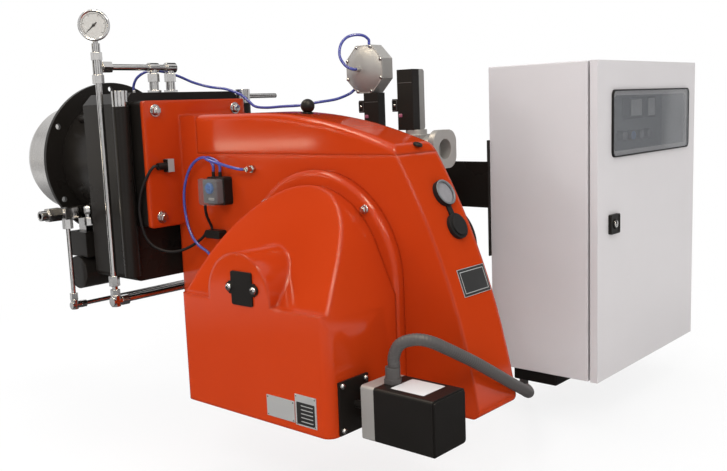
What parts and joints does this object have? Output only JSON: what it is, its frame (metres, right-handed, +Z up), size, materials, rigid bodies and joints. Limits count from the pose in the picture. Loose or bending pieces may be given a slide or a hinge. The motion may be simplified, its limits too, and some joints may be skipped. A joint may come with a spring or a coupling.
{
  "type": "industrial burner",
  "caption": "Monoblock industrial burner with blast tube, fan scroll, air intake box, damper servo, gas and oil lines and a control cabinet with a windowed door.",
  "frame": {"origin": "centre of the flange face that meets the boiler", "axes": "-X out of the flange along the blast tube, +Y to the side of the control cabinet, +Z up"},
  "size_m": [1.3105, 1.1555, 0.855],
  "materials": {
    "orange_paint": "glossy powder coat",
    "black_paint": "satin black paint",
    "steel": "brushed stainless steel",
    "chrome": "bright plated",
    "cast_grey": "die cast, bare",
    "motor_grey": "satin grey paint",
    "cabinet_grey": "fine textured powder coat",
    "black_plastic": "matte moulded plastic",
    "grey_plastic": "ribbed plastic conduit",
    "blue_hose": "translucent plastic tube",
    "black_rubber": "moulded rubber",
    "clear_plastic": "clear moulded plastic",
    "dark_glass": "dark tinted pane",
    "sight_glass": "clear glass",
    "blank_plate": "brushed blank plate"
  },
  "bodies": {
    "burner": {"boiler_flange": "black_paint", "blast_tube": "steel", "swirl_plate": "steel", "oil_lance": "steel", "gas_lance_ring": "steel", "head_body": "black_paint", "hinge_pin": "chrome", "latch_pin": "chrome", "fan_housing": "orange_paint", "top_cover": "orange_paint", "cover_knob": "black_plastic", "inlet_drum": "orange_paint", "intake_box": "orange_paint", "intake_guard": "black_paint", "boss_cover": "black_plastic", "bare_plates": "blank_plate", "servo_mount": "black_paint", "servo_base": "cast_grey", "servo_cover": "black_plastic", "servo_gland": "grey_plastic", "servo_conduit": "grey_plastic", "sight_ring": "black_rubber", "sight_lens": "sight_glass", "fan_motor": "motor_grey", "motor_cowl": "black_paint", "gas_pipe": "black_paint", "gas_valve": "cast_grey", "valve_actuators": "black_plastic", "regulator_dome": "cast_grey", "cabinet_body": "cabinet_grey", "door_hinges": "chrome", "instrument_panel": "cabinet_grey", "panel_devices": "black_plastic", "cabinet_bracket": "black_paint", "cable_entry": "black_plastic", "oil_pump": "black_paint", "oil_fittings": "chrome", "oil_pipes": "chrome", "pressure_gauge": "chrome", "switch_base": "black_plastic", "switch_cover": "clear_plastic", "flame_sensor": "chrome", "cable_plug": "black_plastic", "wall_nipples": "chrome", "switch_hose": "blue_hose", "wall_hose": "blue_hose", "switch_cable": "black_rubber", "sensor_cable": "black_rubber", "dome_hose": "blue_hose", "impulse_hose": "blue_hose"},
    "door": {"cabinet_door": "cabinet_grey", "door_window": "dark_glass", "door_lock": "black_plastic"}
  },
  "joints": [
    {"name": "door_hinge", "type": "hinge", "parent": "burner", "child": "door", "pos_m": [1.075, 0.881, -0.149], "axis": [0, 0, 1], "range_deg": [0, 105]}
  ]
}
